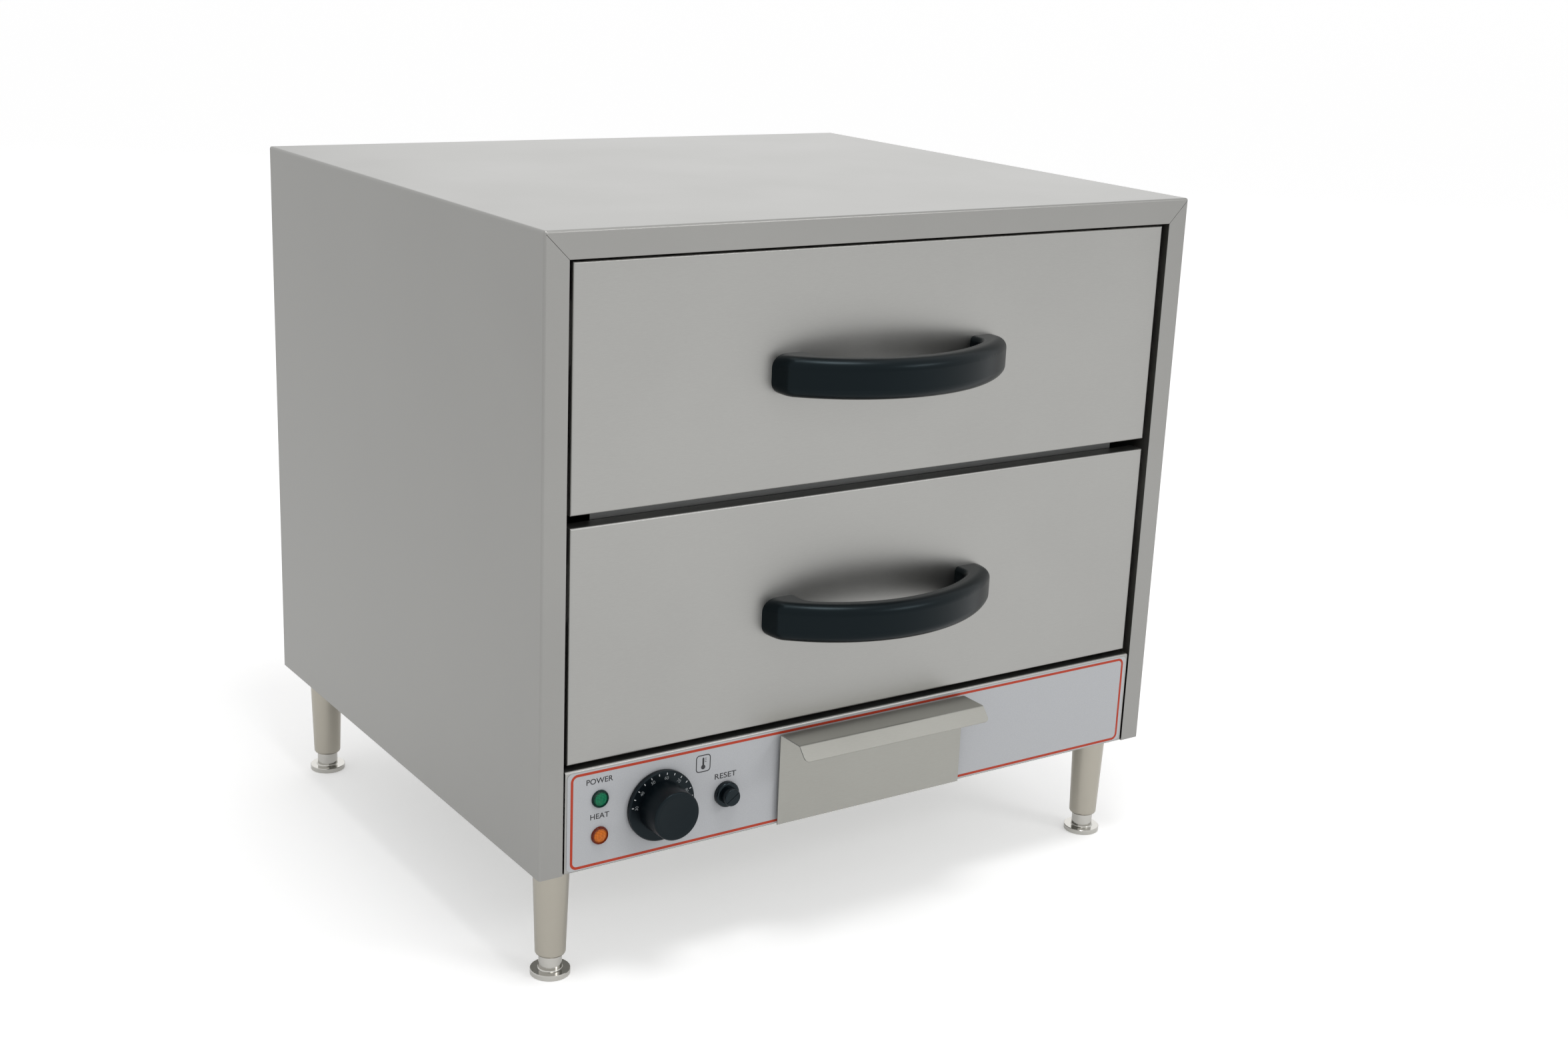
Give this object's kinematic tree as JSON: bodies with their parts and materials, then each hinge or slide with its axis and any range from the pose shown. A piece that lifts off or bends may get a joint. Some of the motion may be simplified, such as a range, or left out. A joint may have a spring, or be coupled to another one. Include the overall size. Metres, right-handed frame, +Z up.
{
  "type": "countertop warming drawer",
  "caption": "Stainless countertop food warmer with sliding drawers for pans, a water tray, a thermostat dial and adjustable legs.",
  "frame": {"origin": "on the bench, under the middle of the whole machine's box, handles and cable gland included", "axes": "+Z up, drawers open towards -Y, +X to the right as seen from the front"},
  "size_m": [0.6, 0.5906, 0.579],
  "materials": {
    "casing_steel": "satin stainless, fine grain",
    "front_steel": "satin stainless, fine grain",
    "panel_steel": "satin stainless",
    "inner_steel": "mill-finish stainless",
    "slide_steel": "rolled stainless",
    "pan_steel": "bright satin stainless",
    "tray_steel": "brushed stainless",
    "handle_plastic": "black thermoset, satin",
    "dial_plastic": "black, satin",
    "overlay_film": "silver-grey printed film",
    "green_lens": "clear green, ribbed inside",
    "amber_lens": "clear amber, ribbed inside",
    "switch_plastic": "ivory thermoset",
    "gland_plastic": "black nylon",
    "shaft_steel": "zinc-plated",
    "element_sheath": "oxidised steel sheath",
    "mineral_wool": "fibrous wool",
    "leg_steel": "turned stainless, satin",
    "foot_steel": "polished stainless"
  },
  "bodies": {
    "case": {"outer_wrapper": "casing_steel", "base_pan": "inner_steel", "rear_panel": "casing_steel", "middle_rail": "inner_steel", "liner_left": "inner_steel", "liner_right": "inner_steel", "liner_top": "inner_steel", "liner_back": "inner_steel", "liner_floor": "inner_steel", "insulation_slabs": "mineral_wool", "heating_element": "element_sheath", "element_clips": "shaft_steel", "thermostat_bulb": "element_sheath", "upper_slide_outer_left": "slide_steel", "upper_slide_outer_right": "slide_steel", "lower_slide_outer_left": "slide_steel", "lower_slide_outer_right": "slide_steel", "control_panel": "panel_steel", "panel_overlay": "overlay_film", "power_lamp": "green_lens", "heat_lamp": "amber_lens", "thermostat_body": "switch_plastic", "reset_body": "switch_plastic", "reset_collar": "dial_plastic", "tray_runners": "inner_steel", "cable_gland": "gland_plastic", "terminal_block": "switch_plastic", "leg_front_left": "leg_steel", "leg_front_right": "leg_steel", "leg_rear_left": "leg_steel", "leg_rear_right": "leg_steel"},
    "upper_drawer": {"upper_drawer_front": "front_steel", "upper_front_liner": "inner_steel", "upper_handle": "handle_plastic", "upper_handle_screws": "shaft_steel", "upper_carriage": "inner_steel", "upper_food_pan": "pan_steel", "upper_slide_inner_left": "slide_steel", "upper_slide_inner_right": "slide_steel"},
    "upper_slide_middles": {"upper_slide_middle_left": "slide_steel", "upper_slide_middle_right": "slide_steel"},
    "lower_drawer": {"lower_drawer_front": "front_steel", "lower_front_liner": "inner_steel", "lower_handle": "handle_plastic", "lower_handle_screws": "shaft_steel", "lower_carriage": "inner_steel", "lower_food_pan": "pan_steel", "lower_slide_inner_left": "slide_steel", "lower_slide_inner_right": "slide_steel"},
    "lower_slide_middles": {"lower_slide_middle_left": "slide_steel", "lower_slide_middle_right": "slide_steel"},
    "water_tray": {"water_tray": "tray_steel", "water_tray_front": "tray_steel"},
    "thermostat_dial": {"thermostat_knob": "dial_plastic", "thermostat_shaft": "shaft_steel"},
    "reset_button": {"reset_button": "dial_plastic"},
    "foot_front_left": {"foot_front_left": "foot_steel"},
    "foot_front_right": {"foot_front_right": "foot_steel"},
    "foot_rear_left": {"foot_rear_left": "foot_steel"},
    "foot_rear_right": {"foot_rear_right": "foot_steel"}
  },
  "joints": [
    {"name": "upper_drawer_slide", "type": "slide", "parent": "case", "child": "upper_drawer", "axis": [0, -1, 0], "range_m": [0, 0.35]},
    {"name": "upper_slide_extension", "type": "slide", "parent": "case", "child": "upper_slide_middles", "axis": [0, -1, 0], "range_m": [0, 0.175]},
    {"name": "lower_drawer_slide", "type": "slide", "parent": "case", "child": "lower_drawer", "axis": [0, -1, 0], "range_m": [0, 0.35]},
    {"name": "lower_slide_extension", "type": "slide", "parent": "case", "child": "lower_slide_middles", "axis": [0, -1, 0], "range_m": [0, 0.175]},
    {"name": "water_tray_slide", "type": "slide", "parent": "case", "child": "water_tray", "axis": [0, -1, 0], "range_m": [0, 0.28]},
    {"name": "dial_turn", "type": "hinge", "parent": "case", "child": "thermostat_dial", "pos_m": [-0.198, -0.24065, 0.138], "axis": [0, -1, 0], "range_deg": [-83, 157]},
    {"name": "reset_press", "type": "slide", "parent": "case", "child": "reset_button", "axis": [0, 1, 0], "range_m": [0, 0.003], "stiffness_N_per_m": 300, "springref_m": -0.002},
    {"name": "front_left_foot_screw", "type": "slide", "parent": "case", "child": "foot_front_left", "axis": [0, 0, -1], "range_m": [-0.008, 0.025]},
    {"name": "front_right_foot_screw", "type": "slide", "parent": "case", "child": "foot_front_right", "axis": [0, 0, -1], "range_m": [-0.008, 0.025]},
    {"name": "rear_left_foot_screw", "type": "slide", "parent": "case", "child": "foot_rear_left", "axis": [0, 0, -1], "range_m": [-0.008, 0.025]},
    {"name": "rear_right_foot_screw", "type": "slide", "parent": "case", "child": "foot_rear_right", "axis": [0, 0, -1], "range_m": [-0.008, 0.025]}
  ],
  "couplings": [
    {"joint": "upper_slide_extension", "follows": "upper_drawer_slide", "ratio": 0.5},
    {"joint": "lower_slide_extension", "follows": "lower_drawer_slide", "ratio": 0.5}
  ]
}
